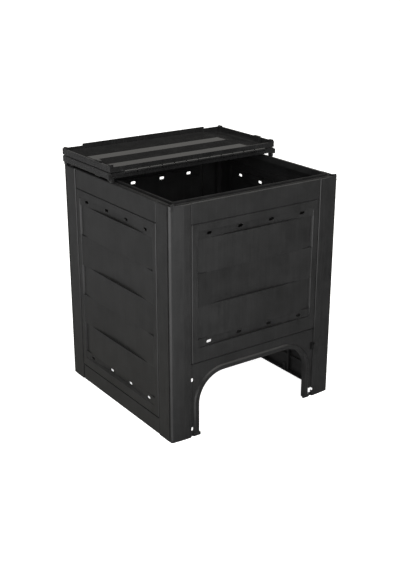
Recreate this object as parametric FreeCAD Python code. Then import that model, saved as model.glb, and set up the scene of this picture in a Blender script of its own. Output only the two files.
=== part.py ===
import FreeCAD, Part
import math
import os

# Garden compost bin with a two-part folding lid, in black moulded plastic.
# Millimetres. +Z is up, the front faces -Y, and the origin is the centre of the
# footprint on the ground. The lid is shown with its front half folded back.

# Overall sizes of the bin body
WIDTH = 600.0
DEPTH = 600.0
WALL_HEIGHT = 711.0
SKIN = 3.0

# Corner between a front or rear wall and a side wall
CORNER_RADIUS = 6.5
POST_BEVEL = 3.0
BEVEL_START = 46.0
BEAD_DEPTH = 10.5
BEAD_STEP = 2.0
SIDE_SKIN_SETBACK = 15.0
JOINT_CLEARANCE = 0.3
JOINT_FLANGE_WIDTH = 19.0
SIDE_FLANGE_DEPTH = 19.0
BOTTOM_FLANGE_DEPTH = 20.0

# Relief on the outer face of each wall: depths are measured inward
POST_WIDTH_FRONT = 68.0
POST_WIDTH_SIDE = 70.0
EDGE_BEVEL = 1.5
TOP_BAND_HEIGHT = 59.0
TOP_BAND_DEPTH = 2.0
GROOVE_WIDTH = 3.5
GROOVE_DEPTH = 3.5
FOOT_GROOVE_HEIGHT = 5.0
FOOT_GROOVE_UNDERCUT = 3.0
TOP_GROOVE_UNDERCUT = 1.5
FRAME_DEPTH = 0.5
FRAME_WIDTH = 20.5
FRAME_TOP_WIDTH = 24.0
FRONT_PANEL_DEPTH = 5.5
SIDE_PANEL_DEPTH = 2.0
REVEAL_SLOPE = 0.25
FIELD_CORNER = 7.0
SIDE_PANEL_HEIGHT = 56.0
FRONT_SILL_WIDTH = 43.5
SIDE_SILL_WIDTH = 27.0

# Boards moulded in the framed field: bowed outward and hollow by turns
FRONT_BOARDS = 3
SIDE_BOARDS = 5
STRIP_HEIGHT = 25.5
FRONT_LOWER_STRIP = 26.25
SIDE_LOWER_STRIP = 25.75
BOWED_EDGE = 6.0
BOWED_MIDDLE = 1.5
HOLLOW_EDGE = 1.5
HOLLOW_MIDDLE = 10.0
SILL_SLOPE = 0.85
RIB_PLACE = 116.0
RIB_WIDTH = 8.0
RIB_REACH = 14.0
TAB_PLACE = 100.0
TAB_WIDTH = 13.0
TAB_STANDOFF = 12.0
TAB_HEIGHT = 26.0
TAB_HOLE = 5.0

# Air slots in the strips above and below the boards
SLOTS_PER_ROW = 4
SLOT_PITCH = 111.7
SLOT_LENGTH = 18.0
SLOT_HEIGHT = 9.0
SLOT_CORNER = 2.4

# Rim folded along the top of every wall
TOP_BEVEL = 2.0
RIM_FLOOR = 14.0
RIM_CHANNEL = 4.0
RIM_RAIL = 11.0
RIM_INNER_CHANNEL = 6.0
RIM_LIP_RISE = 5.0
RAIL_CORNER_GAP = 6.0
REST_PAD_LENGTH = 11.0

# Opening for the emptying door at the foot of the front
ARCH_WIDTH = 408.0
ARCH_BELOW_SILL = 46.5
ARCH_RADIUS = 88.0
ARCH_FLANGE = 14.0
ARCH_BORDER = 16.0
ARCH_BORDER_RAISE = 4.0
ARCH_TOE_WIDTH = 24.0
ARCH_TOE_OVERLAP = 5.0
ARCH_TOE_HEIGHT = 9.0
HOOK_OFFSET = 227.5
HOOK_WIDTH = 11.0
HOOK_HEIGHT = 12.5
HOOK_LOW = 23.5
HOOK_BELOW_ARCH = 7.5
LATCH_OFFSET = 227.0
LATCH_WIDTH = 12.0
LATCH_HEIGHT = 25.0
LATCH_LOW = 15.5
LATCH_ARM_REACH = 4.0
LATCH_ARM_HEIGHT = 10.0

# Pegs that pin the walls together at the corners
PEGS_PER_CORNER = 3
PEG_FIRST = 110.0
PEG_BELOW_RIM = 121.0
PEG_INSET = 13.0
PEG_SIZE = 6.4
PEG_HOLE_CLEARANCE = 0.05
PEG_HEAD_RADIUS = 5.6
PEG_HEAD_HEIGHT = 2.4
PEG_BARB_REACH = 0.8
PEG_BARB_LENGTH = 3.0

# Lid: two halves joined by a piano hinge across the middle
LID_OVERHANG = 2.0
LID_GAP_ABOVE_RIM = 9.5
LID_SKIRT = 20.0
LID_WALL = 3.0
LID_SETBACK = 1.5
LID_SURFACE = 0.5
LID_REBATE = 1.2
FOLD_GAP = 1.0
FIELD_START = 12.0
FIELD_SIDE = 22.0
FIELD_MARGIN = 11.5
END_STEP_RUN = 3.0
END_SLOPE_RUN = 76.0
FLAT_DEPTH = 9.5
RIDGE_DEPTH = 0.5
RIDGE_FIRST = 59.0
RIDGE_PITCH = 121.0
SLOPE_RUN = 77.0
HINGE_WALL = 16.5
HINGE_LEDGE_REACH = 3.0
HINGE_LEDGE_HEIGHT = 3.0
HINGE_LEDGE_DROP = 2.5
LUG_LENGTH = 28.0
LUG_PLACE = 85.0
LUG_THICKNESS = 8.0
LUG_RISE = 4.0
CORNER_LUG = 15.0
FOOT_CLEARANCE = 0.3
GRIP_WIDTH = 464.0
GRIP_RISE = 6.0
END_TAB_LENGTH = 10.0
END_TAB_REACH = 6.0
END_TAB_HEIGHT = 15.0

# Hinge knuckles and rod
KNUCKLES = 12
KNUCKLE_SPAN = 520.0
KNUCKLE_GAP = 4.0
KNUCKLE_RADIUS = 5.0
KNUCKLE_CLEARANCE = 0.6
ROD_RADIUS = 2.0
ROD_CLEARANCE = 0.05

FAR = 60.0
BOARDS_TOP = WALL_HEIGHT - TOP_BAND_HEIGHT - FRAME_TOP_WIDTH - STRIP_HEIGHT
BOARDS_FOOT = SIDE_PANEL_HEIGHT + SIDE_SILL_WIDTH + SIDE_LOWER_STRIP
BOARD_PITCH = (BOARDS_TOP - BOARDS_FOOT) / SIDE_BOARDS
FRONT_SILL_TOP = BOARDS_TOP - FRONT_BOARDS * BOARD_PITCH - FRONT_LOWER_STRIP
FRONT_PANEL_HEIGHT = FRONT_SILL_TOP - FRONT_SILL_WIDTH
ARCH_HEIGHT = FRONT_PANEL_HEIGHT - ARCH_BELOW_SILL
HOOK_PITCH = ARCH_HEIGHT - HOOK_BELOW_ARCH - HOOK_LOW
PEG_PITCH = (WALL_HEIGHT - PEG_BELOW_RIM - PEG_FIRST) / (PEGS_PER_CORNER - 1)
LID_TOP = WALL_HEIGHT + LID_GAP_ABOVE_RIM + LID_SKIRT
HINGE_Z = LID_TOP + FOLD_GAP / 2
HINGE_EDGE = KNUCKLE_RADIUS + KNUCKLE_CLEARANCE
LID_HALF = DEPTH / 2 - LID_SETBACK
LID_SIDE = WIDTH / 2 + LID_OVERHANG
JOINT_DEPTH = SIDE_SKIN_SETBACK - JOINT_CLEARANCE


def block(x0, x1, y0, y1, z0, z1):
    """Box between two corners."""
    corner = FreeCAD.Vector(x0, y0, z0)
    return Part.makeBox(x1 - x0, y1 - y0, z1 - z0, corner)


def plan(points, z0, z1):
    """Prism over a closed outline of (u, w) points, standing between two heights."""
    corners = [FreeCAD.Vector(u, w, z0) for u, w in points]
    outline = Part.makePolygon(corners + corners[:1])
    return Part.Face(outline).extrude(FreeCAD.Vector(0, 0, z1 - z0))


def along(points, u0, u1):
    """Prism over a closed outline of (w, z) points, lying along the wall."""
    corners = [FreeCAD.Vector(u0, w, z) for w, z in points]
    outline = Part.makePolygon(corners + corners[:1])
    return Part.Face(outline).extrude(FreeCAD.Vector(u1 - u0, 0, 0))


def arc(start, middle, end):
    """Arc edge through three (u, w) points at ground height."""
    through = [FreeCAD.Vector(u, w, 0) for u, w in (start, middle, end)]
    return Part.Arc(*through).toShape()


def line(start, end):
    """Straight edge between two (u, w) points at ground height."""
    return Part.makeLine(FreeCAD.Vector(*start, 0), FreeCAD.Vector(*end, 0))


def mirrored(points):
    """The same (u, w) points on the other side of the wall's middle, in reverse."""
    return [(-u, w) for u, w in reversed(points)]


def corner_edge_front():
    """Right-hand edge of a front or rear wall: bevelled post, rounded bead, step, flange."""
    edge = WIDTH / 2
    centre_w = POST_BEVEL + CORNER_RADIUS
    turn = CORNER_RADIUS * math.sqrt(0.5)
    flat = [(edge - BEVEL_START, 0.0), (edge - CORNER_RADIUS, POST_BEVEL)]
    middle = (edge - CORNER_RADIUS + turn, centre_w - turn)
    flange = [
        (edge, centre_w),
        (edge, BEAD_DEPTH),
        (edge - BEAD_STEP, BEAD_DEPTH),
        (edge - BEAD_STEP, FAR),
    ]
    return flat, middle, flange


def corner_edge_hollow():
    """Right-hand edge that the hollow of a front or rear wall is set in from: no bead."""
    edge = WIDTH / 2
    return [
        (edge - BEVEL_START, 0.0),
        (edge - CORNER_RADIUS, POST_BEVEL),
        (edge - BEAD_STEP, POST_BEVEL),
        (edge - BEAD_STEP, FAR),
    ]


def corner_edge_side():
    """Right-hand edge of a side wall: plain square edge."""
    edge = DEPTH / 2 - SIDE_SKIN_SETBACK
    return [(edge, 0.0), (edge, FAR)]


def broken_edge(corner, before, after, bevel):
    """Two points that break a corner by a bevel, or the corner itself where there is none."""
    if bevel == 0.0:
        return [corner]
    u, w = corner
    return [(u + before[0] * bevel, w + before[1] * bevel), (u + after[0] * bevel, w + after[1] * bevel)]


def post_edge(post, surface, bevel):
    """Points from a surface across the groove beside the post and up the side of the post."""
    points = []
    floor = max(surface, GROOVE_DEPTH)
    if surface < GROOVE_DEPTH:
        near = post - GROOVE_WIDTH
        points += broken_edge((near, surface), (-1, 0), (0, 1), min(bevel, (GROOVE_DEPTH - surface) / 2))
        points.append((near, GROOVE_DEPTH))
    points.append((post, floor))
    return points + broken_edge((post, 0.0), (0, 1), (1, 0), bevel)


def frame_inner(post):
    """Inner edge of the raised frame, measured from the middle of the wall."""
    return post - GROOVE_WIDTH - FRAME_WIDTH


def reveal(post, edge_w, bevel):
    """Points from the edge of a board up the reveal to the frame."""
    inner = frame_inner(post)
    bevel = min(bevel, (edge_w - FRAME_DEPTH) / 2)
    foot = inner - (edge_w - FRAME_DEPTH) * REVEAL_SLOPE
    return [(foot, edge_w)] + broken_edge((inner, FRAME_DEPTH), (0, 1), (1, 0), bevel)


def wall_outline(post, front, kind, edge_w=0.0, middle_w=0.0):
    """Closed plan outline of one level of a wall, and that of the hollow behind its skin."""
    outer = closed_outline(post, front, kind, edge_w, middle_w, EDGE_BEVEL)
    sharp = closed_outline(post, front, kind, edge_w, middle_w, 0.0)
    return outer, sharp.makeOffset2D(-SKIN, join=2)


def closed_outline(post, front, kind, edge_w, middle_w, bevel):
    """Closed plan outline of one level of a wall, from its outer face to far behind it."""
    if kind == "plain":
        inner = post_edge(post, edge_w, bevel)
    else:
        inner = reveal(post, edge_w, bevel) + post_edge(post, FRAME_DEPTH, bevel)
    edges = []
    if kind == "board":
        edges.append(arc((-inner[0][0], inner[0][1]), (0.0, middle_w), inner[0]))
    else:
        edges.append(line((-inner[0][0], inner[0][1]), inner[0]))
    if front and bevel > 0.0:
        flat, middle, flange = corner_edge_front()
        right = inner + flat
        edges += polyline(right)
        edges.append(arc(right[-1], middle, flange[0]))
        edges += polyline(flange)
        edges.append(line(flange[-1], (-flange[-1][0], FAR)))
        edges += polyline(mirrored(flange))
        start, end = flange[0], right[-1]
        edges.append(arc((-start[0], start[1]), (-middle[0], middle[1]), (-end[0], end[1])))
        edges += polyline(mirrored(right))
    else:
        right = inner + (corner_edge_hollow() if front else corner_edge_side())
        edges += polyline(right)
        edges.append(line(right[-1], (-right[-1][0], FAR)))
        edges += polyline(mirrored(right))
    return Part.Wire(Part.__sortEdges__(edges))


def polyline(points):
    """Straight edges joining (u, w) points in turn."""
    return [line(a, b) for a, b in zip(points, points[1:])]


def level(outline, z0, z1):
    """Prism of a plan outline between two heights."""
    base = outline.copy()
    base.translate(FreeCAD.Vector(0, 0, z0))
    return Part.Face(base).extrude(FreeCAD.Vector(0, 0, z1 - z0))


def skin_wall(levels, post_clip, relief=None):
    """Thin wall that follows the relief of stacked levels, with its ledges and any added relief.

    levels is a list of ((outline, hollow), bottom, top) from the ground up.
    """
    outer = None
    inner = None
    hollow_below = None
    for (outline, hollow), z0, z1 in levels:
        solid = level(outline, z0, z1)
        outer = solid if outer is None else outer.fuse(solid)
        top = z1 + SKIN if z1 >= WALL_HEIGHT else z1 - SKIN
        voids = []
        if top > z0 + SKIN:
            voids.append(level(hollow, z0 + SKIN, top))
        if hollow_below is not None:
            low = level(hollow_below, z0 - SKIN, z0 + SKIN)
            high = level(hollow, z0 - SKIN, z0 + SKIN)
            voids.append(low.common(high))
        for void in voids:
            inner = void if inner is None else inner.fuse(void)
        hollow_below = hollow
    if relief is not None:
        outer = outer.fuse(relief)
    outer = outer.common(post_clip)
    return outer.cut(inner).removeSplitter()


def half_span(front):
    """Half the length that a wall spans: across the bin in front and behind, else along it."""
    return WIDTH / 2 if front else DEPTH / 2


def flange_clip(front):
    """Space that a wall may fill: deeper in the middle than at a front wall's corners."""
    edge = half_span(front) + 1.0
    if not front:
        return block(-edge, edge, -1.0, SIDE_FLANGE_DEPTH, 0.0, WALL_HEIGHT)
    shoulder = WIDTH / 2 - BEAD_STEP - JOINT_FLANGE_WIDTH
    middle = block(-shoulder, shoulder, -1.0, BOTTOM_FLANGE_DEPTH, 0.0, WALL_HEIGHT)
    corners = block(-edge, edge, -1.0, JOINT_DEPTH, 0.0, WALL_HEIGHT)
    return middle.fuse(corners)


def wall_levels(post, front, panel, sill_width, boards):
    """Levels of a wall from the ground up: panel, groove, sill, strip, boards, strip, rail, groove, band.

    panel is the height and the depth of the plain panel at the foot.
    """
    panel_height, panel_depth = panel
    foot_groove = wall_outline(post, front, "plain", panel_depth + FOOT_GROOVE_UNDERCUT)
    rail = wall_outline(post, front, "plain", FRAME_DEPTH)
    bowed = wall_outline(post, front, "board", BOWED_EDGE, BOWED_MIDDLE)
    hollow = wall_outline(post, front, "board", HOLLOW_EDGE, HOLLOW_MIDDLE)
    top_groove = wall_outline(post, front, "plain", TOP_BAND_DEPTH + TOP_GROOVE_UNDERCUT)
    band_foot = WALL_HEIGHT - TOP_BAND_HEIGHT
    rail_top = band_foot - GROOVE_WIDTH
    field_top = band_foot - FRAME_TOP_WIDTH
    boards_foot = BOARDS_TOP - boards * BOARD_PITCH
    levels = [
        (wall_outline(post, front, "plain", panel_depth), 0.0, panel_height - FOOT_GROOVE_HEIGHT),
        (foot_groove, panel_height - FOOT_GROOVE_HEIGHT, panel_height),
        (rail, panel_height, panel_height + sill_width),
        (hollow, panel_height + sill_width, boards_foot),
    ]
    for number in range(boards):
        z0 = boards_foot + number * BOARD_PITCH
        counted_from_top = boards - number
        shape = bowed if counted_from_top % 2 == 1 else hollow
        levels.append((shape, z0, z0 + BOARD_PITCH))
    levels.append((hollow, BOARDS_TOP, field_top))
    levels.append((rail, field_top, rail_top))
    levels.append((top_groove, rail_top, band_foot))
    levels.append((wall_outline(post, front, "plain", TOP_BAND_DEPTH), band_foot, WALL_HEIGHT))
    return levels


def cut_corner_slot(u, z, length, height, corner):
    """Slot through a wall with its corners cut off, centred at (u, z)."""
    slot = block(u - length / 2, u + length / 2, -1.0, FAR / 2, z - height / 2, z + height / 2)
    upright = [edge for edge in slot.Edges if abs(edge.BoundBox.YLength - FAR / 2 - 1.0) < 0.01]
    return slot.makeChamfer(corner, upright)


def field_corners(post, levels):
    """Rounded corners of the framed field, between the frame and the strips."""
    inner = frame_inner(post)
    foot = levels[3][1]
    top = levels[-4][2]
    corners = []
    for side in (-1, 1):
        for z, inward in ((foot, 1), (top, -1)):
            u0, u1 = sorted((side * (inner + 0.5), side * (inner - FIELD_CORNER)))
            z0, z1 = sorted((z - 0.5 * inward, z + FIELD_CORNER * inward))
            corner = block(u0, u1, FRAME_DEPTH, HOLLOW_EDGE + SKIN / 2, z0, z1)
            centre = FreeCAD.Vector(side * (inner - FIELD_CORNER), 0.0, z + FIELD_CORNER * inward)
            corner = corner.cut(Part.makeCylinder(FIELD_CORNER, FAR, centre, FreeCAD.Vector(0, 1, 0)))
            corners.append(corner)
    return corners


def slot_rows(wall, heights):
    """Cut a row of air slots at each height."""
    for z in heights:
        for number in range(SLOTS_PER_ROW):
            u = (number - (SLOTS_PER_ROW - 1) / 2) * SLOT_PITCH
            wall = wall.cut(cut_corner_slot(u, z, SLOT_LENGTH, SLOT_HEIGHT, SLOT_CORNER))
    return wall


def sloped_sill(post, sill_top):
    """Slope from the sill up to the hollow strip above it, highest where the strip is deepest."""
    half = frame_inner(post)
    back = HOLLOW_MIDDLE + 1.0
    rise = (back - FRAME_DEPTH) * SILL_SLOPE
    low = sill_top - 0.5
    outline = [(FRAME_DEPTH, sill_top), (FRAME_DEPTH, low), (back, low), (back, sill_top + rise)]
    return along(outline, -half, half)


def top_bevel(post):
    """Space cut from the outer edge of a wall's top, along its band and its posts."""
    low = WALL_HEIGHT - TOP_BEVEL
    high = WALL_HEIGHT + 1.0
    cuts = []
    for face, u0, u1 in ((TOP_BAND_DEPTH, -post, post), (0.0, -WIDTH, -post), (0.0, post, WIDTH)):
        crest = face + TOP_BEVEL
        outline = [(-1.0, low), (face, low), (crest, WALL_HEIGHT), (crest, high), (-1.0, high)]
        cuts.append(along(outline, u0, u1))
    return cuts


def foot_details(sill_top):
    """Ribs and holed tabs inside the foot of a side wall, on its bottom flange."""
    details = []
    for side in (-1, 1):
        centre = side * RIB_PLACE
        half = RIB_WIDTH / 2
        rib = block(centre - half, centre + half, SKIN, RIB_REACH, SKIN / 2, sill_top - SKIN / 2)
        centre = side * TAB_PLACE
        half = TAB_WIDTH / 2
        tab = block(centre - half, centre + half, TAB_STANDOFF, TAB_STANDOFF + SKIN, 0.0, TAB_HEIGHT)
        half = TAB_HOLE / 2
        middle = TAB_HEIGHT * 0.6
        tab = tab.cut(block(centre - half, centre + half, 0.0, FAR, middle - half, middle + half))
        details += [rib, tab]
    return details


def rim(front):
    """Folded rim behind the top of a wall: channel, rail, channel and raised inner lip."""
    top = WALL_HEIGHT
    floor = top - RIM_FLOOR
    deck = floor + SKIN
    rail_in = SKIN + RIM_CHANNEL
    rail_out = rail_in + RIM_RAIL
    lip = rail_out + RIM_INNER_CHANNEL
    lip_back = lip + SKIN
    reach = half_span(front) - SKIN
    shelf = block(-reach, reach, SKIN - 0.5, lip_back, floor, deck)
    lip_wall = block(-reach, reach, lip, lip_back, floor, top + RIM_LIP_RISE)
    rail_end = half_span(front) - rail_out - RAIL_CORNER_GAP
    rail = block(-rail_end, rail_end, rail_in, rail_out, floor, top)
    ends = rail_end - SKIN
    hollow = block(-ends, ends, rail_in + SKIN, rail_out - SKIN, floor - 1.0, top - SKIN)
    folded = shelf.fuse(lip_wall).fuse(rail).cut(hollow)
    return folded.common(rim_clip(front, lip_back))


def rim_clip(front, lip_back):
    """Plan limits of a rim: mitred at the corners beyond the joint flanges."""
    half = half_span(front)
    miter = JOINT_CLEARANCE / math.sqrt(2)
    z0 = WALL_HEIGHT - RIM_FLOOR - 1.0
    z1 = WALL_HEIGHT + RIM_LIP_RISE + 1.0
    start = JOINT_DEPTH if front else SIDE_SKIN_SETBACK
    near = half - BEAD_STEP - 1.0 if front else half - SIDE_SKIN_SETBACK - 1.0
    points = [
        (near, 0.0),
        (near, start),
        (half - start - miter, start),
        (half - lip_back - miter - 1.0, lip_back + 1.0),
    ]
    return plan(points + mirrored(points), z0, z1)


def rest_pads():
    """Pads in the rim channel near the corners that carry the closed lid."""
    end = WIDTH / 2 - BEAD_STEP - SKIN
    top = WALL_HEIGHT + LID_GAP_ABOVE_RIM - LUG_RISE - FOOT_CLEARANCE
    pads = []
    for u0 in (end - REST_PAD_LENGTH, -end):
        foot = WALL_HEIGHT - RIM_FLOOR + SKIN - 0.5
        pads.append(block(u0, u0 + REST_PAD_LENGTH, SKIN - 0.5, SKIN + RIM_CHANNEL, foot, top))
    return pads


def peg_heights():
    """Heights of the corner pegs."""
    return [PEG_FIRST + number * PEG_PITCH for number in range(PEGS_PER_CORNER)]


def joint_flanges(wall):
    """Flanges inside a front or rear wall that lie against the side walls, with peg holes."""
    outer = WIDTH / 2 - BEAD_STEP
    inner = outer - JOINT_FLANGE_WIDTH
    top = WALL_HEIGHT - RIM_FLOOR
    for side in (-1, 1):
        u0, u1 = sorted((side * inner, side * (outer - SKIN / 2)))
        plate = block(u0, u1, JOINT_DEPTH - SKIN, JOINT_DEPTH, 0.0, top)
        wall = wall.fuse(plate)
    half = PEG_SIZE / 2 + PEG_HOLE_CLEARANCE
    for side in (-1, 1):
        for z in peg_heights():
            u = side * (WIDTH / 2 - PEG_INSET)
            hole = block(u - half, u + half, JOINT_DEPTH - SKIN - 1.0, JOINT_DEPTH + 1.0, z - half, z + half)
            wall = wall.cut(hole)
    return wall


def arch_prism(grow, w0, w1):
    """Space of the door opening, widened by grow, between two depths."""
    half = ARCH_WIDTH / 2 + grow
    body = block(-half, half, w0, w1, -1.0, ARCH_HEIGHT + grow)
    shoulders = [
        edge
        for edge in body.Edges
        if abs(edge.BoundBox.YLength - (w1 - w0)) < 0.01 and edge.BoundBox.ZMin > 0.0
    ]
    return body.makeFillet(ARCH_RADIUS + grow, shoulders)


def door_opening(wall):
    """Cut the arched opening, with a raised border outside and a flange turned inward."""
    face = FRONT_PANEL_DEPTH
    front = face - ARCH_BORDER_RAISE
    border = arch_prism(ARCH_BORDER, front, face + 0.5)
    in_front = [edge for edge in border.Edges if edge.BoundBox.YMax < front + 0.01]
    rim_edges = [edge for edge in in_front if edge.BoundBox.ZMax > 0.0]
    border = border.makeChamfer(ARCH_BORDER_RAISE, rim_edges)
    edging = border.fuse(arch_prism(SKIN, front, face + ARCH_FLANGE))
    above_ground = block(-WIDTH, WIDTH, -FAR, FAR, 0.0, WALL_HEIGHT)
    wall = wall.fuse(edging.common(above_ground))
    wall = wall.cut(arch_prism(0.0, -1.0, FAR))
    for side in (-1, 1):
        inner = side * (ARCH_WIDTH / 2 - ARCH_TOE_OVERLAP)
        u0, u1 = sorted((inner, inner + side * ARCH_TOE_WIDTH))
        wall = wall.fuse(block(u0, u1, front - 0.5, face + SKIN, 0.0, ARCH_TOE_HEIGHT))
    for step in range(2):
        z = HOOK_LOW + step * HOOK_PITCH
        wall = wall.cut(cut_corner_slot(-HOOK_OFFSET, z, HOOK_WIDTH, HOOK_HEIGHT, HOOK_WIDTH / 5))
        wall = wall.cut(latch_slot(LATCH_LOW + step * HOOK_PITCH))
    return wall


def latch_slot(z):
    """L-shaped slot for a latch of the door, its arm reaching into the post."""
    u0 = LATCH_OFFSET - LATCH_WIDTH / 2
    u1 = LATCH_OFFSET + LATCH_WIDTH / 2
    top = z + LATCH_HEIGHT / 2
    leg = block(u0, u1, -1.0, FAR / 2, z - LATCH_HEIGHT / 2, top)
    arm = block(u0, u1 + LATCH_ARM_REACH, -1.0, FAR / 2, top - LATCH_ARM_HEIGHT, top)
    drop = block(u0, u1, FRONT_PANEL_DEPTH + SKIN, FAR / 2, z - LATCH_HEIGHT / 2 - SKIN - 1.0, top)
    return leg.fuse(arm).fuse(drop)


def front_or_rear_wall(has_door):
    """Wall that wraps the corners, in its own (u, w, z) frame."""
    post = WIDTH / 2 - POST_WIDTH_FRONT
    if has_door:
        panel = (FRONT_PANEL_HEIGHT, FRONT_PANEL_DEPTH)
        levels = wall_levels(post, True, panel, FRONT_SILL_WIDTH, FRONT_BOARDS)
    else:
        panel = (SIDE_PANEL_HEIGHT, SIDE_PANEL_DEPTH)
        levels = wall_levels(post, True, panel, SIDE_SILL_WIDTH, SIDE_BOARDS)
    slope = None if has_door else sloped_sill(post, levels[3][1])
    wall = skin_wall(levels, flange_clip(True), slope)
    wall = wall.fuse([rim(True)] + field_corners(post, levels))
    wall = joint_flanges(wall).cut(top_bevel(post))
    wall = slot_rows(wall, slot_heights(levels))
    if has_door:
        wall = door_opening(wall)
        for pad in rest_pads():
            wall = wall.fuse(pad)
    return wall.removeSplitter()


def slot_heights(levels):
    """Heights of the two slot rows, from the strips of a wall."""
    below = levels[3]
    above = levels[-4]
    return (below[1] + STRIP_HEIGHT * 0.46, above[1] + STRIP_HEIGHT * 0.56)


def side_wall():
    """Side wall between the front and rear walls, in its own (u, w, z) frame."""
    post = DEPTH / 2 - POST_WIDTH_SIDE
    panel = (SIDE_PANEL_HEIGHT, SIDE_PANEL_DEPTH)
    levels = wall_levels(post, False, panel, SIDE_SILL_WIDTH, SIDE_BOARDS)
    sill_top = levels[3][1]
    wall = skin_wall(levels, flange_clip(False), sloped_sill(post, sill_top))
    wall = wall.fuse([rim(False)] + field_corners(post, levels))
    wall = wall.cut([side_corner_relief()] + top_bevel(post))
    wall = wall.fuse(foot_details(sill_top))
    wall = slot_rows(wall, slot_heights(levels))
    half = PEG_SIZE / 2 + PEG_HOLE_CLEARANCE
    edge = DEPTH / 2 - SIDE_SKIN_SETBACK
    for side in (-1, 1):
        u0, u1 = sorted((side * (edge - SKIN - 1.0), side * (edge + 1.0)))
        for z in peg_heights():
            wall = wall.cut(block(u0, u1, PEG_INSET - half, PEG_INSET + half, z - half, z + half))
    return wall.removeSplitter()


def side_corner_relief():
    """Corner space at rim height that belongs to the front and rear rims."""
    half = half_span(False)
    miter = JOINT_CLEARANCE / math.sqrt(2)
    z0 = WALL_HEIGHT - RIM_FLOOR - JOINT_CLEARANCE
    z1 = WALL_HEIGHT + RIM_LIP_RISE + 1.0
    start = SIDE_SKIN_SETBACK
    points = [
        (half - start - miter, start),
        (half, start),
        (half, FAR),
        (half - FAR - miter, FAR),
    ]
    right = plan(points, z0, z1)
    left = plan([(-u, w) for u, w in points], z0, z1)
    return right.fuse(left)


def corner_pegs(side_x, side_y):
    """Push-in pegs of one corner: head inside, shank through both flanges, barbed tip."""
    face = DEPTH / 2 - SIDE_SKIN_SETBACK - SKIN
    grip = 2 * SKIN + JOINT_CLEARANCE
    half = PEG_SIZE / 2
    barb = half + PEG_BARB_REACH
    profile = [
        (0.0, half),
        (grip, half),
        (grip, barb),
        (grip + PEG_BARB_LENGTH, half * 0.6),
    ]
    profile += [(reach, -rise) for reach, rise in reversed(profile)]
    x = side_x * (WIDTH / 2 - PEG_INSET)
    pegs = []
    for z in peg_heights():
        shank = along([(side_y * (face + reach), z + rise) for reach, rise in profile], x - half, x + half)
        rounds = [math.radians(22.5 + 45.0 * number) for number in range(8)]
        ring = [
            FreeCAD.Vector(x + PEG_HEAD_RADIUS * math.cos(a), side_y * face, z + PEG_HEAD_RADIUS * math.sin(a))
            for a in rounds
        ]
        disc = Part.Face(Part.makePolygon(ring + ring[:1]))
        head = disc.extrude(FreeCAD.Vector(0, -side_y * PEG_HEAD_HEIGHT, 0))
        pegs.append(shank.fuse(head).removeSplitter())
    return Part.makeCompound(pegs)


def hipped(profile, inner, drop):
    """Prism of a field profile: a step at its left end, a long slope at its right end."""
    foot = LID_TOP - FLAT_DEPTH - drop
    shallow = LID_TOP - RIDGE_DEPTH - drop
    outline = [
        (-inner, LID_TOP + 2),
        (-inner, shallow),
        (-inner + END_STEP_RUN, foot),
        (inner - END_SLOPE_RUN, foot),
        (inner, shallow),
        (inner, LID_TOP + 2),
    ]
    corners = [FreeCAD.Vector(x, 0.0, z) for x, z in outline]
    shape = Part.Face(Part.makePolygon(corners + corners[:1])).extrude(FreeCAD.Vector(0, DEPTH, 0))
    return along(profile, -inner, inner).common(shape)


def lid_plate(side, far):
    """Plate of a lid half: a flat border round a sunk field of flats, ridges and slopes."""
    end = far - FIELD_MARGIN
    ridges = (RIDGE_FIRST, RIDGE_FIRST + RIDGE_PITCH)
    feet = (RIDGE_FIRST + SLOPE_RUN, end)
    field = [(FIELD_START, FLAT_DEPTH)]
    under = [(FIELD_START - LID_WALL, FLAT_DEPTH)]
    for ridge, foot in zip(ridges, feet):
        tilt = (FLAT_DEPTH - RIDGE_DEPTH) / (foot - ridge)
        back = ridge + LID_WALL
        field += [(ridge, FLAT_DEPTH), (ridge, RIDGE_DEPTH), (foot, FLAT_DEPTH)]
        under += [(back, FLAT_DEPTH), (back, RIDGE_DEPTH + tilt * LID_WALL), (foot, FLAT_DEPTH)]
    under.append((end + LID_WALL, FLAT_DEPTH))
    above = [(end, -1.0), (FIELD_START, -1.0)]
    sunk = [(q, LID_TOP - d) for q, d in field + above]
    over = [(end + LID_WALL, LID_SURFACE), (FIELD_START - LID_WALL, LID_SURFACE)]
    body = [(q, LID_TOP - LID_WALL - d) for q, d in under] + [(q, LID_TOP - d) for q, d in over]
    inner = side - FIELD_SIDE
    border = block(
        -side + LID_REBATE,
        side - LID_REBATE,
        HINGE_EDGE,
        far - LID_REBATE,
        LID_TOP - LID_SURFACE - LID_WALL,
        LID_TOP - LID_SURFACE,
    )
    plate = border.fuse(hipped(body, inner + LID_WALL, LID_WALL))
    return plate.cut(hipped(sunk, inner, 0.0))


def knuckle(x0, x1):
    """One hinge knuckle: a barrel round the hinge line with an arm to the lid edge."""
    axis = FreeCAD.Vector(1, 0, 0)
    barrel = Part.makeCylinder(KNUCKLE_RADIUS, x1 - x0, FreeCAD.Vector(x0, 0, HINGE_Z), axis)
    arm = block(x0, x1, 0.0, HINGE_EDGE + LID_WALL, HINGE_Z - KNUCKLE_RADIUS, LID_TOP)
    return barrel.fuse(arm)


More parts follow.
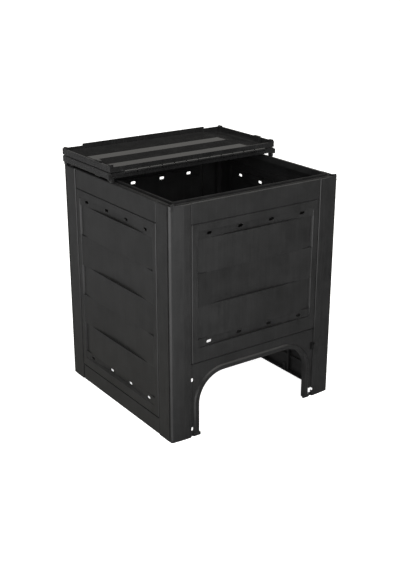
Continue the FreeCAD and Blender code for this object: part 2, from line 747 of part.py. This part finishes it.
def lid_half(is_rear):
    """One lid half in its closed place behind the hinge line: plate, skirts, lugs, knuckles."""
    side = LID_SIDE
    far = LID_HALF
    foot = LID_TOP - LID_SKIRT
    head = LID_TOP - LID_SURFACE - LID_REBATE
    parts = [lid_plate(side, far), lid_lugs(side, far, foot, is_rear)]
    for s in (-1, 1):
        x0, x1 = sorted((s * side, s * (side - LID_WALL)))
        parts.append(block(x0, x1, HINGE_EDGE, far, foot, head))
    parts.append(block(-side, side, HINGE_EDGE, HINGE_EDGE + LID_WALL, LID_TOP - HINGE_WALL, head))
    parts.append(block(-side, side, far - LID_WALL, far, foot, head))
    if is_rear:
        parts += rear_half_details(side, foot, head)
    else:
        parts.append(block(-GRIP_WIDTH / 2, GRIP_WIDTH / 2, far - LID_WALL, far, foot - GRIP_RISE, foot))
    return hinge_barrels(parts[0].fuse(parts[1:]), is_rear)


def rear_half_details(side, foot, head):
    """End tabs beside the hinge and the ledges between them and the knuckles."""
    details = []
    for s in (-1, 1):
        x0, x1 = sorted((s * (side - LID_WALL), s * (side + END_TAB_REACH)))
        details.append(block(x0, x1, HINGE_EDGE, HINGE_EDGE + END_TAB_LENGTH, foot, foot + END_TAB_HEIGHT))
        x0, x1 = sorted((s * (side - LID_REBATE), s * (KNUCKLE_SPAN / 2 + KNUCKLE_GAP)))
        top = head - HINGE_LEDGE_DROP
        y0 = HINGE_EDGE - HINGE_LEDGE_REACH
        details.append(block(x0, x1, y0, HINGE_EDGE + LID_WALL, top - HINGE_LEDGE_HEIGHT, top))
    return details


def lid_lugs(side, far, foot, is_rear):
    """Lugs inside the skirts; those of the rear half's corners are feet on the bin's rim."""
    reach = foot - WALL_HEIGHT - FOOT_CLEARANCE if is_rear else LUG_RISE
    under = LID_TOP - LID_SURFACE - LID_WALL + 0.5
    lugs = None
    for s in (-1, 1):
        x0, x1 = sorted((s * (side - LID_WALL - LUG_THICKNESS), s * (side - LID_WALL + 0.5)))
        parts = [
            block(x0, x1, HINGE_EDGE, HINGE_EDGE + CORNER_LUG, foot - reach, under),
            block(x0, x1, LUG_PLACE - LUG_LENGTH / 2, LUG_PLACE + LUG_LENGTH / 2, foot - LUG_RISE, under),
            block(x0, x1, far - LID_WALL - CORNER_LUG, far - LID_WALL + 0.5, foot - reach, under),
        ]
        for lug in parts:
            lugs = lug if lugs is None else lugs.fuse(lug)
    return lugs


def hinge_barrels(lid, is_rear):
    """Add this half's share of the knuckles to it and bore them for the rod."""
    pitch = KNUCKLE_SPAN / KNUCKLES
    first = 0 if is_rear else 1
    for number in range(first, KNUCKLES, 2):
        x0 = -KNUCKLE_SPAN / 2 + number * pitch + KNUCKLE_GAP / 2
        lid = lid.fuse(knuckle(x0, x0 + pitch - KNUCKLE_GAP))
    bore = Part.makeCylinder(
        ROD_RADIUS + ROD_CLEARANCE,
        rod_end() + KNUCKLE_SPAN / 2 + 1.0,
        FreeCAD.Vector(-KNUCKLE_SPAN / 2 - 1.0, 0, HINGE_Z),
        FreeCAD.Vector(1, 0, 0),
    )
    return lid.cut(bore).removeSplitter()


def rod_end():
    """Right-hand end of the bore, blind in the last knuckle."""
    return KNUCKLE_SPAN / 2 - KNUCKLE_GAP / 2 - LID_WALL


def hinge_rod():
    """Steel rod through all the knuckles."""
    start = -KNUCKLE_SPAN / 2 + KNUCKLE_GAP / 2
    length = rod_end() - JOINT_CLEARANCE - start
    return Part.makeCylinder(ROD_RADIUS, length, FreeCAD.Vector(start, 0, HINGE_Z), FreeCAD.Vector(1, 0, 0))


def set_in_place(wall, turn, distance):
    """Move a wall from its own frame to its place round the bin."""
    placed = wall.copy()
    placed.translate(FreeCAD.Vector(0, -distance, 0))
    placed.rotate(FreeCAD.Vector(0, 0, 0), FreeCAD.Vector(0, 0, 1), turn)
    return placed


def folded_back(lid):
    """Turn a lid half over the hinge line, from closed behind it to folded on top."""
    turned = lid.mirror(FreeCAD.Vector(0, 0, HINGE_Z), FreeCAD.Vector(0, 0, 1))
    return turned


def build_all():
    """Every sub-part at its place, by node name."""
    side = side_wall()
    nodes = {
        "front_wall": set_in_place(front_or_rear_wall(True), 0, DEPTH / 2),
        "rear_wall": set_in_place(front_or_rear_wall(False), 180, DEPTH / 2),
        "left_wall": set_in_place(side, -90, WIDTH / 2),
        "right_wall": set_in_place(side, 90, WIDTH / 2),
        "lid_rear_half": lid_half(True),
        "lid_front_half": folded_back(lid_half(False)),
        "hinge_rod": hinge_rod(),
    }
    for name_y, side_y in (("front", -1), ("rear", 1)):
        for name_x, side_x in (("left", -1), ("right", 1)):
            nodes["pegs_" + name_y + "_" + name_x] = corner_pegs(side_x, side_y)
    return nodes


os.makedirs("parts", exist_ok=True)
for node, shape in build_all().items():
    shape.exportStep("parts/" + node + ".step")
    print(node, len(shape.Solids), round(shape.Volume), shape.isValid())
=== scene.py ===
import bpy
import math
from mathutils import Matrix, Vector


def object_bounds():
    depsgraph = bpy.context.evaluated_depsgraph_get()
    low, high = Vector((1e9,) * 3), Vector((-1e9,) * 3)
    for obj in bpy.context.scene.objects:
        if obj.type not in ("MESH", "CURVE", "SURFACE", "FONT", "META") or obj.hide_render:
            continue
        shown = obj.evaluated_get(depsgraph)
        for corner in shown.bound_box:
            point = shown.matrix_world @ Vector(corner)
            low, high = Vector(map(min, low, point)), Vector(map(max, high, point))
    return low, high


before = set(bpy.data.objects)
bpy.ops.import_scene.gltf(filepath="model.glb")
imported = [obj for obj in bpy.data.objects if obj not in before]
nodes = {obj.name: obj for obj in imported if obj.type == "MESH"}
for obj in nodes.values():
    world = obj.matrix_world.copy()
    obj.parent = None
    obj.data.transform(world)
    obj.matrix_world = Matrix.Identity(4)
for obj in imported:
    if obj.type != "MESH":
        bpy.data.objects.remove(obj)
cad_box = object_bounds()


# The four walls: panels of black polypropylene, each injection moulded in one piece.
# The front and rear ones wrap the corners, and the side ones slot in between them. The
# melt leaves faint upright streaks and clouds, and the mould a fine grain.
WALL_DARK = (0.0090, 0.0090, 0.0091, 1.0)
WALL_LIGHT = (0.0170, 0.0170, 0.0172, 1.0)
WALL_ROUGHNESS = 0.34
WALL_GRAIN_DEPTH = 0.0001
ROUGHNESS_SPREAD = 0.06
STREAKS_PER_METRE = 170.0
STREAK_SQUEEZE = (1.0, 1.0, 0.05)
CLOUDS_PER_METRE = 22.0
GRAINS_PER_METRE = 900.0
GRAIN_STRENGTH = 0.35
NOISE_LOW = 0.34
NOISE_HIGH = 0.66


class Wire:
    """A socket that does sums, and the tree that its nodes are added to."""

    def __init__(self, owner, socket=None):
        self.owner = owner
        self.tree = owner.node_tree
        self.socket = socket

    def node(self, kind, output=0, settings=None, stops=None, **sockets):
        """Any other node: its settings and ramp stops first, then its sockets by name."""
        made = self.tree.nodes.new(kind)
        for name, value in (settings or {}).items():
            setattr(made, name, value)
        if stops:
            ramp = made.color_ramp
            while len(ramp.elements) < len(stops):
                ramp.elements.new(0.5)
            for element, (place, shade) in zip(list(ramp.elements), stops):
                element.position = place
                element.color = (shade, shade, shade, 1.0)
        for name, value in sockets.items():
            self.feed(made.inputs[name.replace("_", " ")], value)
        return Wire(self.owner, made.outputs[output])

    def feed(self, target, value):
        """Link a wire to a socket, or set the socket to a plain value."""
        if isinstance(value, Wire):
            self.tree.links.new(value.socket, target)
        else:
            target.default_value = value

    def blend(self, first, second):
        """Colour between two others, with this wire as the factor."""
        made = self.tree.nodes.new("ShaderNodeMix")
        made.data_type = "RGBA"
        self.feed(made.inputs[0], self)
        self.feed(made.inputs[6], first)
        self.feed(made.inputs[7], second)
        return Wire(self.owner, made.outputs[2])

    def maths(self, operation, first, second):
        """Math node on two values."""
        made = self.tree.nodes.new("ShaderNodeMath")
        made.operation = operation
        self.feed(made.inputs[0], first)
        self.feed(made.inputs[1], second)
        return Wire(self.owner, made.outputs[0])

    def __add__(self, other):
        return self.maths("ADD", self, other)

    def __radd__(self, other):
        return self.maths("ADD", other, self)

    def __sub__(self, other):
        return self.maths("SUBTRACT", self, other)

    def __rsub__(self, other):
        return self.maths("SUBTRACT", other, self)

    def __mul__(self, other):
        return self.maths("MULTIPLY", self, other)

    def __rmul__(self, other):
        return self.maths("MULTIPLY", other, self)


def new_finish(name):
    """Material with its node wiring and its main shader."""
    material = bpy.data.materials.new(name)
    material.use_nodes = True
    return material, Wire(material), material.node_tree.nodes["Principled BSDF"]


def moulded_plastic(name, dark, light, roughness, grain_depth):
    """Black polypropylene from the mould: upright flow streaks, faint clouds, fine grain."""
    material, wire, shader = new_finish(name)
    place = wire.node("ShaderNodeTexCoord", output="Object")
    drawn = wire.node("ShaderNodeMapping", Vector=place, Scale=STREAK_SQUEEZE)
    streak = wire.node("ShaderNodeTexNoise", Vector=drawn, Scale=STREAKS_PER_METRE, Detail=2.0, Roughness=0.6)
    cloud = wire.node("ShaderNodeTexNoise", Vector=place, Scale=CLOUDS_PER_METRE, Detail=4.0, Roughness=0.6)
    grain = wire.node("ShaderNodeTexNoise", Vector=place, Scale=GRAINS_PER_METRE, Detail=2.0, Roughness=0.6)
    mottle = streak * 0.5 + cloud * 0.5
    shade = wire.node("ShaderNodeMapRange", Value=mottle, From_Min=NOISE_LOW, From_Max=NOISE_HIGH)
    bump = wire.node("ShaderNodeBump", Height=grain, Strength=GRAIN_STRENGTH, Distance=grain_depth)
    wire.feed(shader.inputs["Base Color"], shade.blend(dark, light))
    wire.feed(shader.inputs["Roughness"], roughness + (cloud - 0.5) * ROUGHNESS_SPREAD)
    wire.feed(shader.inputs["Normal"], bump)
    return material


def give(node, material):
    """Put one finish on every slot of a carried-over part."""
    data = nodes[node].data
    if not data.materials:
        data.materials.append(material)
    for index in range(len(data.materials)):
        data.materials[index] = material


wall_plastic = moulded_plastic("wall_plastic", WALL_DARK, WALL_LIGHT, WALL_ROUGHNESS, WALL_GRAIN_DEPTH)
for wall_name in ("front_wall", "rear_wall", "left_wall", "right_wall"):
    give(wall_name, wall_plastic)


# The two lid halves: the walls' plastic from a smoother mould, so that their flats
# mirror the light as pale strips. Knuckles moulded on their meeting edges join them.
LID_ROUGHNESS = 0.11
LID_GRAIN_DEPTH = 0.00002

lid_plastic = moulded_plastic("lid_plastic", WALL_DARK, WALL_LIGHT, LID_ROUGHNESS, LID_GRAIN_DEPTH)
for lid_name in ("lid_rear_half", "lid_front_half"):
    give(lid_name, lid_plastic)


# The hinge rod: bright drawn steel wire, cut to length and pushed through the
# knuckles of both lid halves from one end.
ROD_COLOUR = (0.45, 0.45, 0.46, 1.0)
ROD_SCRATCHES_PER_METRE = 400.0

rod_steel, rod_wire, rod_shader = new_finish("rod_steel")
rod_shader.inputs["Metallic"].default_value = 1.0
rod_shader.inputs["Base Color"].default_value = ROD_COLOUR
rod_place = rod_wire.node("ShaderNodeTexCoord", output="Object")
rod_drawn = rod_wire.node("ShaderNodeTexNoise", Vector=rod_place, Scale=ROD_SCRATCHES_PER_METRE, Detail=2.0)
rod_wire.feed(rod_shader.inputs["Roughness"], 0.3 + rod_drawn * 0.15)
give("hinge_rod", rod_steel)


# The corner pegs: three barbed rivets of plain black plastic at each corner, pushed
# through the joint flanges from inside. Their heads show only from inside the bin.
PEG_DARK = (0.011, 0.011, 0.011, 1.0)
PEG_LIGHT = (0.015, 0.015, 0.015, 1.0)
PEG_ROUGHNESS = 0.5
PEG_GRAIN_DEPTH = 0.0001

peg_plastic = moulded_plastic("peg_plastic", PEG_DARK, PEG_LIGHT, PEG_ROUGHNESS, PEG_GRAIN_DEPTH)
for peg_place in ("front_left", "front_right", "rear_left", "rear_right"):
    give("pegs_" + peg_place, peg_plastic)


# The studio floor: a wide white sheet to the camera. To glossy rays only, it glows with
# painted light that stands in for paper lit from the front left. The plastic mirrors it as
# a painted reflection: bright there, dim to the front right, and in between, and
# slightly warm, behind the left wall.
FLOOR_HALF = 40.0
FLOOR_PAPER = 0.8
FLOOR_CAMERA_GLOW = 0.75
# Painted light: brightness of the floor's glow by the bearing round the bin's front left
# corner, in degrees from straight ahead toward the right.
PAINTED_LIGHT_FAN = (
    (-126.0, 0.0),
    (-104.4, 0.5),
    (-21.6, 0.5),
    (14.4, 0.235),
    (24.8, 0.16),
    (33.8, 0.085),
    (46.1, 0.06),
    (57.6, 0.04),
)
PAINTED_LIGHT_STRENGTH = 3.0
TO_REAR_LEFT = (-0.57, 0.82)

bin_half = cad_box[1][1]
floor_mesh = bpy.data.meshes.new("studio_floor")
floor_turns = ((-1, -1), (1, -1), (1, 1), (-1, 1))
floor_corners = [(FLOOR_HALF * x, FLOOR_HALF * y, 0.0) for x, y in floor_turns]
floor_mesh.from_pydata(floor_corners, [], [(0, 1, 2, 3)])
floor = bpy.data.objects.new("studio_floor", floor_mesh)
bpy.context.scene.collection.objects.link(floor)
floor_white, floor_wire, floor_shader = new_finish("floor_white")
floor_shader.inputs["Roughness"].default_value = 1.0
floor_shader.inputs["Specular IOR Level"].default_value = 0.0
floor_shader.inputs["Emission Strength"].default_value = 1.0
floor_place = floor_wire.node("ShaderNodeTexCoord", output="Object")
floor_x = floor_wire.node("ShaderNodeSeparateXYZ", output="X", Vector=floor_place)
floor_y = floor_wire.node("ShaderNodeSeparateXYZ", output="Y", Vector=floor_place)


def floor_step(value, start, end, low, high):
    """Soft step across the floor, for the painted glow and its masks."""
    return floor_wire.node(
        "ShaderNodeMapRange",
        settings={"interpolation_type": "SMOOTHSTEP"},
        Value=value,
        From_Min=start,
        From_Max=end,
        To_Min=low,
        To_Max=high,
    )


# The floor's painted light, seen only in glossy rays: a fan of brightness round the bin's front left corner.
from_corner_x = floor_x + bin_half
from_corner_y = -bin_half - floor_y
bearing = floor_wire.maths("ARCTAN2", from_corner_x, from_corner_y) * math.degrees(1.0)
reach_squared = from_corner_x * from_corner_x + from_corner_y * from_corner_y
reach = floor_wire.maths("POWER", reach_squared, 0.5)
painted_fan_stops = [(0.5 + turn / 360.0, shade) for turn, shade in PAINTED_LIGHT_FAN]
painted_fan_light = floor_wire.node("ShaderNodeValToRGB", stops=painted_fan_stops, Fac=bearing * (1.0 / 360.0) + 0.5)
# Painted shade: the glow dims toward the bin's front left corner, as shade near the bin.
painted_shade_near_bin = floor_step(reach, 0.15, 0.8, 0.6, 1.0)
# Painted light: more glow farther from the bin, toward the front and left.
painted_far_light_strip = floor_step(reach, 1.35, 1.75, 0.0, 0.8) * floor_step(bearing, 24.1, 33.2, 1.0, 0.0)
# Painted light: a dim glow on the floor behind the left wall.
behind_left = floor_step(bearing, -126.0, -106.0, 1.0, 0.0)
rearward = floor_x * TO_REAR_LEFT[0] + floor_y * TO_REAR_LEFT[1]
rear_left = floor_step(rearward, 0.2, 2.0, 0.185, 0.26)
painted_floor_glow = painted_fan_light * PAINTED_LIGHT_STRENGTH * (painted_shade_near_bin + painted_far_light_strip) + rear_left * behind_left
by_camera = floor_wire.node("ShaderNodeLightPath", output="Is Camera Ray")
by_gloss = floor_wire.node("ShaderNodeLightPath", output="Is Glossy Ray")
# Painted warm tint on the painted glow behind the left wall, seen only in glossy rays.
painted_warm_tint = by_gloss * behind_left * floor_step(rearward, 0.2, 1.4, 1.0, 0.0)
# Emission: plain white to the camera, the painted glow to glossy rays.
floor_light = by_camera * FLOOR_CAMERA_GLOW + by_gloss * painted_floor_glow
white_and_painted_floor_glow = floor_wire.node(
    "ShaderNodeCombineColor",
    Red=floor_light,
    Green=floor_light * (1.0 - painted_warm_tint * 0.02),
    Blue=floor_light * (1.0 - painted_warm_tint * 0.10),
)
# In glossy rays the paper's own lit colour is switched off, so the plastic mirrors only the painted glow.
floor_wire.feed(floor_shader.inputs["Base Color"], (1.0 - by_gloss) * FLOOR_PAPER)
floor_wire.feed(floor_shader.inputs["Emission Color"], white_and_painted_floor_glow)
floor_mesh.materials.append(floor_white)


# The room round the bin, white to the camera: by the height of a direction above the
# floor, a pale and slightly warm band low down, which the lid's flats mirror, a dark
# stretch over it, and a bright ceiling.
ROOM = (
    (0.0, 0.03),
    (0.12, 0.03),
    (0.17, 0.15),
    (0.25, 0.15),
    (0.30, 0.005),
    (0.62, 0.005),
    (0.71, 0.7),
    (1.0, 0.7),
)
ROOM_STRENGTH = 2.0
WHITE = (1.0, 1.0, 1.0, 1.0)

room = bpy.data.worlds.new("studio")
bpy.context.scene.world = room
room.use_nodes = True
room_wire = Wire(room)
direction = room_wire.node("ShaderNodeTexCoord", output="Generated")
height = room_wire.node("ShaderNodeSeparateXYZ", output="Z", Vector=direction)
room_glow = room_wire.node("ShaderNodeValToRGB", stops=ROOM, Fac=height) * ROOM_STRENGTH
room_tint = room_wire.node(
    "ShaderNodeCombineColor",
    Red=room_glow,
    Green=room_glow * 0.98,
    Blue=room_glow * 0.93,
)
seen = room_wire.node("ShaderNodeLightPath", output="Is Camera Ray")
background = room.node_tree.nodes["Background"]
room_wire.feed(background.inputs["Color"], seen.blend(room_tint, WHITE))


# Three large soft lamps, left, front and above, at plain strength. Glossy rays pass
# them by, so that the plastic mirrors only the floor and the room.
def soft_lamp(name, place, target, size, power):
    """Square soft lamp at a place, turned to a target."""
    data = bpy.data.lights.new(name, "AREA")
    data.size = size
    data.energy = power
    lamp = bpy.data.objects.new(name, data)
    lamp.location = place
    lamp.rotation_euler = (Vector(target) - Vector(place)).to_track_quat("-Z", "Y").to_euler()
    lamp.visible_glossy = False
    bpy.context.scene.collection.objects.link(lamp)


soft_lamp("left_lamp", place=(-3.2, -1.2, 1.1), target=(0.0, 0.0, 0.35), size=2.0, power=75.0)
soft_lamp("front_lamp", place=(-1.0, -3.6, 1.6), target=(0.0, 0.0, 0.35), size=2.0, power=105.0)
soft_lamp("top_lamp", place=(0.1, -0.2, 2.6), target=(0.0, -0.1, 0.0), size=1.5, power=25.0)


# The photograph's camera: in front and to the left, a little above the rim. Its lens
# is given in pixels of the upright 400 x 570 frame.
CAMERA_AIM = Vector((-0.0288, -0.0530, 0.3583))
CAMERA_DISTANCE = 2.992
CAMERA_AZIMUTH = math.radians(-35.12)
CAMERA_ELEVATION = math.radians(20.64)
FOCAL_PIXELS = 960.8
FRAME_HEIGHT_PIXELS = 570
SENSOR_HEIGHT = 36.0

toward_camera = Vector((
    math.sin(CAMERA_AZIMUTH) * math.cos(CAMERA_ELEVATION),
    -math.cos(CAMERA_AZIMUTH) * math.cos(CAMERA_ELEVATION),
    math.sin(CAMERA_ELEVATION),
))
lens = bpy.data.cameras.new("photo_camera")
lens.sensor_width = SENSOR_HEIGHT
lens.lens = FOCAL_PIXELS * SENSOR_HEIGHT / FRAME_HEIGHT_PIXELS
camera = bpy.data.objects.new("photo_camera", lens)
camera.location = CAMERA_AIM + toward_camera * CAMERA_DISTANCE
camera.rotation_euler = (-toward_camera).to_track_quat("-Z", "Y").to_euler()
bpy.context.scene.collection.objects.link(camera)
bpy.context.scene.camera = camera
bpy.context.scene.view_settings.view_transform = "Standard"
